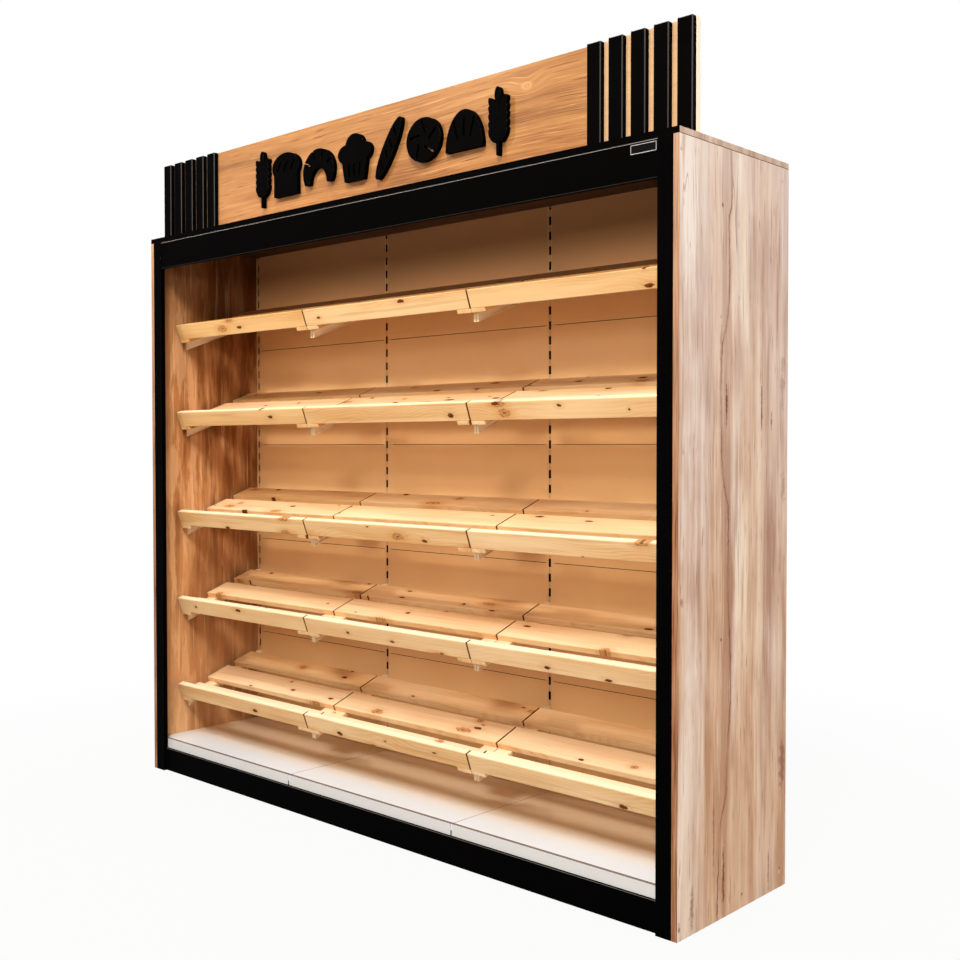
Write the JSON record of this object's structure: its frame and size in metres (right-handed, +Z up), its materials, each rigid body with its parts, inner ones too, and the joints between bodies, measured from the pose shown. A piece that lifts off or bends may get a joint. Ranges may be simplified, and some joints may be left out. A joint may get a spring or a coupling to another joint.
{
  "type": "bakery bread rack",
  "caption": "Tall wood-decor bakery rack with sloping slatted pine trays on a slotted steel back, black front frame, steel base decks and a crown sign board.",
  "frame": {"origin": "on the floor, under the middle of the rack's overall box", "axes": "X runs along the rack's length, -Y is the open front, +Z is up"},
  "size_m": [2.49, 0.572, 2.418],
  "materials": {
    "ash_decor": "matt wood-decor laminated board",
    "oak_decor": "matt honey-oak laminated board",
    "black_board": "satin black laminated board",
    "black_lacquer": "black lacquered fibreboard",
    "label": "black engraving plate with a silver line",
    "pine": "clear-oiled knotty pine",
    "cream_steel": "satin cream powder coat",
    "bracket_steel": "satin cream powder coat",
    "white_steel": "glossy white powder coat",
    "tan_steel": "matt paint in the decor's colour",
    "zinc_steel": "bright zinc"
  },
  "bodies": {
    "cabinet": {"side_panel_left": "ash_decor", "side_panel_right": "ash_decor", "roof_panel": "ash_decor", "cornice_strip": "black_board", "front_post_left": "black_board", "front_post_right": "black_board", "header_fascia": "black_board", "plinth_board": "black_board", "label_plate": "label", "roof_screws": "zinc_steel", "side_screws": "tan_steel", "uprights": "cream_steel", "rear_crossbars": "cream_steel", "base_legs": "cream_steel", "levelling_feet": "zinc_steel", "shelf_brackets_left_hand": "bracket_steel", "shelf_brackets_right_hand": "bracket_steel", "sign_board": "oak_decor", "sign_battens": "black_lacquer", "sign_motifs": "black_lacquer", "sign_stays": "zinc_steel", "back_panels_1": "cream_steel", "back_panels_2": "cream_steel", "back_panels_3": "cream_steel"},
    "deck_1": {"base_deck_1": "white_steel"},
    "deck_2": {"base_deck_2": "white_steel"},
    "deck_3": {"base_deck_3": "white_steel"},
    "tray_1_1": {"tray_1_1_boards": "pine", "tray_1_1_rail": "pine"},
    "tray_1_2": {"tray_1_2_boards": "pine", "tray_1_2_rail": "pine"},
    "tray_1_3": {"tray_1_3_boards": "pine", "tray_1_3_rail": "pine"},
    "tray_2_1": {"tray_2_1_boards": "pine", "tray_2_1_rail": "pine"},
    "tray_2_2": {"tray_2_2_boards": "pine", "tray_2_2_rail": "pine"},
    "tray_2_3": {"tray_2_3_boards": "pine", "tray_2_3_rail": "pine"},
    "tray_3_1": {"tray_3_1_boards": "pine", "tray_3_1_rail": "pine"},
    "tray_3_2": {"tray_3_2_boards": "pine", "tray_3_2_rail": "pine"},
    "tray_3_3": {"tray_3_3_boards": "pine", "tray_3_3_rail": "pine"},
    "tray_4_1": {"tray_4_1_boards": "pine", "tray_4_1_rail": "pine"},
    "tray_4_2": {"tray_4_2_boards": "pine", "tray_4_2_rail": "pine"},
    "tray_4_3": {"tray_4_3_boards": "pine", "tray_4_3_rail": "pine"},
    "tray_5_1": {"tray_5_1_boards": "pine", "tray_5_1_rail": "pine"},
    "tray_5_2": {"tray_5_2_boards": "pine", "tray_5_2_rail": "pine"},
    "tray_5_3": {"tray_5_3_boards": "pine", "tray_5_3_rail": "pine"}
  },
  "joints": [
    {"name": "deck_1_lift", "type": "slide", "parent": "cabinet", "child": "deck_1", "axis": [0, 0, 1], "range_m": [0, 0.06]},
    {"name": "deck_2_lift", "type": "slide", "parent": "cabinet", "child": "deck_2", "axis": [0, 0, 1], "range_m": [0, 0.06]},
    {"name": "deck_3_lift", "type": "slide", "parent": "cabinet", "child": "deck_3", "axis": [0, 0, 1], "range_m": [0, 0.06]},
    {"name": "tray_1_1_lift", "type": "slide", "parent": "cabinet", "child": "tray_1_1", "axis": [0, 0, 1], "range_m": [0, 0.08]},
    {"name": "tray_1_2_lift", "type": "slide", "parent": "cabinet", "child": "tray_1_2", "axis": [0, 0, 1], "range_m": [0, 0.08]},
    {"name": "tray_1_3_lift", "type": "slide", "parent": "cabinet", "child": "tray_1_3", "axis": [0, 0, 1], "range_m": [0, 0.08]},
    {"name": "tray_2_1_lift", "type": "slide", "parent": "cabinet", "child": "tray_2_1", "axis": [0, 0, 1], "range_m": [0, 0.08]},
    {"name": "tray_2_2_lift", "type": "slide", "parent": "cabinet", "child": "tray_2_2", "axis": [0, 0, 1], "range_m": [0, 0.08]},
    {"name": "tray_2_3_lift", "type": "slide", "parent": "cabinet", "child": "tray_2_3", "axis": [0, 0, 1], "range_m": [0, 0.08]},
    {"name": "tray_3_1_lift", "type": "slide", "parent": "cabinet", "child": "tray_3_1", "axis": [0, 0, 1], "range_m": [0, 0.08]},
    {"name": "tray_3_2_lift", "type": "slide", "parent": "cabinet", "child": "tray_3_2", "axis": [0, 0, 1], "range_m": [0, 0.08]},
    {"name": "tray_3_3_lift", "type": "slide", "parent": "cabinet", "child": "tray_3_3", "axis": [0, 0, 1], "range_m": [0, 0.08]},
    {"name": "tray_4_1_lift", "type": "slide", "parent": "cabinet", "child": "tray_4_1", "axis": [0, 0, 1], "range_m": [0, 0.08]},
    {"name": "tray_4_2_lift", "type": "slide", "parent": "cabinet", "child": "tray_4_2", "axis": [0, 0, 1], "range_m": [0, 0.08]},
    {"name": "tray_4_3_lift", "type": "slide", "parent": "cabinet", "child": "tray_4_3", "axis": [0, 0, 1], "range_m": [0, 0.08]},
    {"name": "tray_5_1_lift", "type": "slide", "parent": "cabinet", "child": "tray_5_1", "axis": [0, 0, 1], "range_m": [0, 0.08]},
    {"name": "tray_5_2_lift", "type": "slide", "parent": "cabinet", "child": "tray_5_2", "axis": [0, 0, 1], "range_m": [0, 0.08]},
    {"name": "tray_5_3_lift", "type": "slide", "parent": "cabinet", "child": "tray_5_3", "axis": [0, 0, 1], "range_m": [0, 0.08]}
  ]
}
